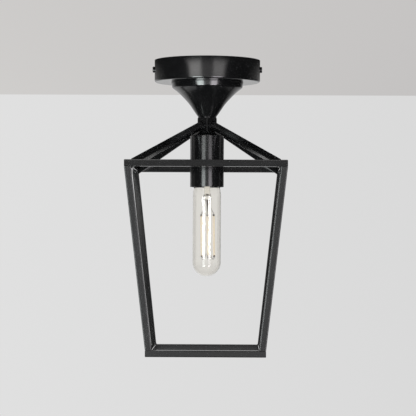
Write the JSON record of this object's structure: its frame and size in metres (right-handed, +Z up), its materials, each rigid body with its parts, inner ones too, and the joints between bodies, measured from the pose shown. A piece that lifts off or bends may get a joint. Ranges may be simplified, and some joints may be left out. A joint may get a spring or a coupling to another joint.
{
  "type": "porch ceiling lantern",
  "caption": "Open square-tube cage lantern that tapers downwards, hung from a round ceiling canopy by a flared cover, with a clear tubular lamp in a plain cup.",
  "frame": {"origin": "centre of the ceiling plane, midway between the two ceiling screw slots, on the axis of the lantern", "axes": "+Z up into the ceiling, +X to the right along the bracket, -Y the front of the lantern as pictured"},
  "size_m": [0.179, 0.179, 0.3336],
  "materials": {
    "black_paint": "satin powder coat",
    "bright_zinc": "bright zinc plated",
    "brass": "as rolled",
    "porcelain": "white ceramic, part glazed",
    "phenolic": "moulded black phenolic",
    "block_plastic": "moulded nylon",
    "green_enamel": "green passivated steel",
    "brown_cover": "silicone cover",
    "blue_cover": "silicone cover",
    "green_yellow_cover": "green and yellow striped cover",
    "clear_glass": "clear",
    "nickel_shell": "nickel plated brass",
    "black_glass": "black cap glass",
    "solder": "tinned brass",
    "support_wire": "drawn wire",
    "filament": "peach phosphor coating"
  },
  "bodies": {
    "lantern": {"ceiling_bracket": "bright_zinc", "terminal_screws": "bright_zinc", "block_screw": "bright_zinc", "threaded_tube": "bright_zinc", "canopy_nut": "bright_zinc", "toothed_washer": "bright_zinc", "cup_nut": "bright_zinc", "holder_terminal_screws": "bright_zinc", "canopy": "black_paint", "trumpet_cover": "black_paint", "frame_hub": "black_paint", "arm_front_left": "black_paint", "arm_front_right": "black_paint", "arm_rear_right": "black_paint", "arm_rear_left": "black_paint", "top_bar_front": "black_paint", "top_bar_right": "black_paint", "top_bar_rear": "black_paint", "top_bar_left": "black_paint", "leg_front_left": "black_paint", "leg_front_right": "black_paint", "leg_rear_right": "black_paint", "leg_rear_left": "black_paint", "bottom_bar_front": "black_paint", "bottom_bar_right": "black_paint", "bottom_bar_rear": "black_paint", "bottom_bar_left": "black_paint", "socket_cup": "black_paint", "earth_screw": "green_enamel", "terminal_block": "block_plastic", "terminal_clamps": "brass", "earth_tag": "brass", "screw_shell": "brass", "centre_contact": "brass", "holder_terminals": "brass", "holder_cap": "phenolic", "holder_skirt": "phenolic", "holder_disc": "porcelain", "live_lead": "brown_cover", "neutral_lead": "blue_cover", "earth_lead": "green_yellow_cover"},
    "lamp": {"lamp_glass": "clear_glass", "lamp_cap": "nickel_shell", "lamp_cap_insulator": "black_glass", "lamp_tip": "solder", "lamp_stem": "clear_glass", "lamp_support_wires": "support_wire", "lamp_filaments": "filament"},
    "side_screw_left": {"canopy_screw_left": "black_paint"},
    "side_screw_right": {"canopy_screw_right": "black_paint"}
  },
  "joints": [
    {"name": "lamp_out", "type": "slide", "parent": "lantern", "child": "lamp", "axis": [0, 0, -1], "range_m": [0, 0.236]},
    {"name": "side_screw_left_out", "type": "slide", "parent": "lantern", "child": "side_screw_left", "axis": [-1, 0, 0], "range_m": [0, 0.012]},
    {"name": "side_screw_right_out", "type": "slide", "parent": "lantern", "child": "side_screw_right", "axis": [1, 0, 0], "range_m": [0, 0.012]}
  ]
}
